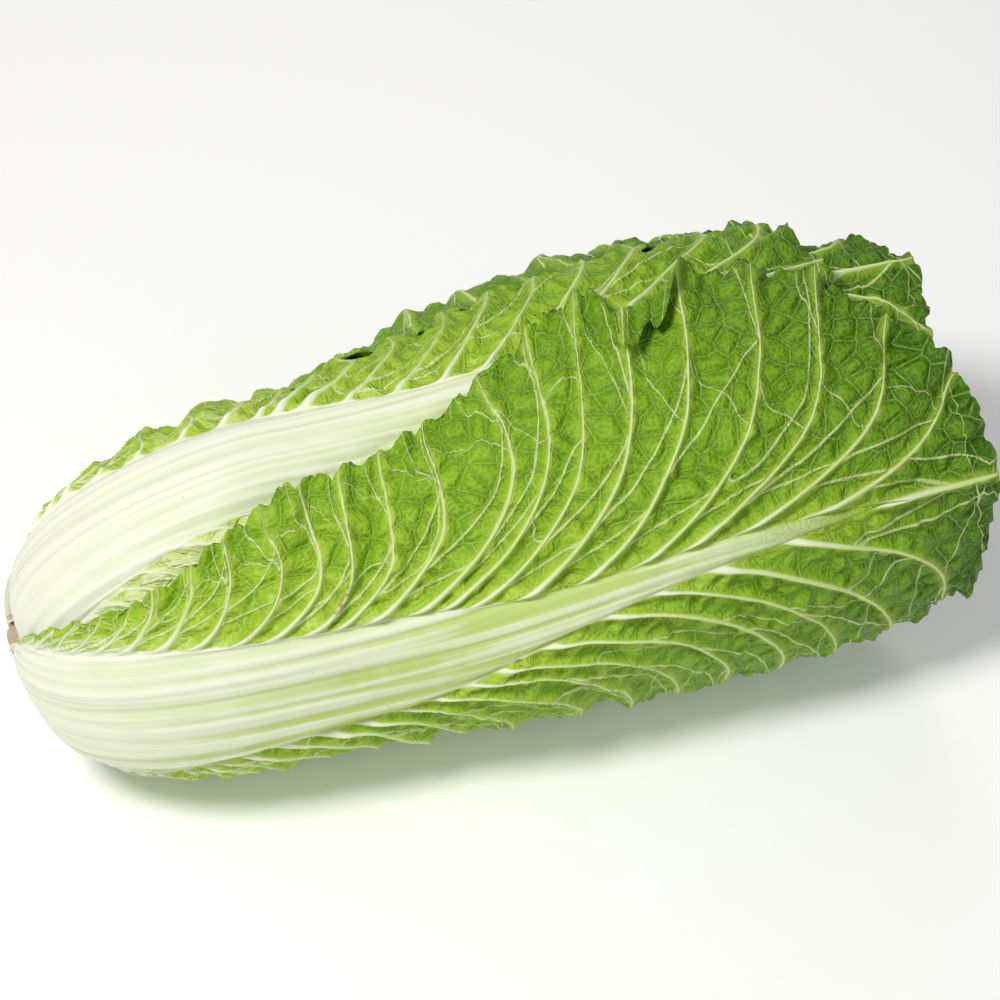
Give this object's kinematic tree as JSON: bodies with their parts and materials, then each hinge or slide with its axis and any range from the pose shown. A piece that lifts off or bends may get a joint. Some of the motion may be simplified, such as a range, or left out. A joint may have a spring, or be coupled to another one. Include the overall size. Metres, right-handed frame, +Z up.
{
  "type": "napa cabbage",
  "caption": "Whole head of napa cabbage lying on its side: loose crinkled green outer leaves with broad white midribs, paler inner leaves, a closed heart and a cut stem.",
  "frame": {"origin": "on the surface that the head lies on, under the middle of its bounding box", "axes": "+X along the head, from the cut stem to the leaf tips; +Z up; -Y the near side, with the big outer leaf"},
  "size_m": [0.3242, 0.1592, 0.1537],
  "materials": {
    "outer_leaf": "satin",
    "inner_leaf": "satin",
    "pale_leaf": "satin",
    "stem": "matte"
  },
  "bodies": {
    "root": {"front_leaf": "outer_leaf", "back_leaf": "outer_leaf", "top_leaf": "outer_leaf", "under_leaf": "outer_leaf", "inner_top_leaf": "inner_leaf", "inner_front_leaf": "inner_leaf", "pale_upper_leaf": "pale_leaf", "pale_lower_leaf": "pale_leaf", "heart": "pale_leaf", "stem": "stem"}
  },
  "joints": []
}
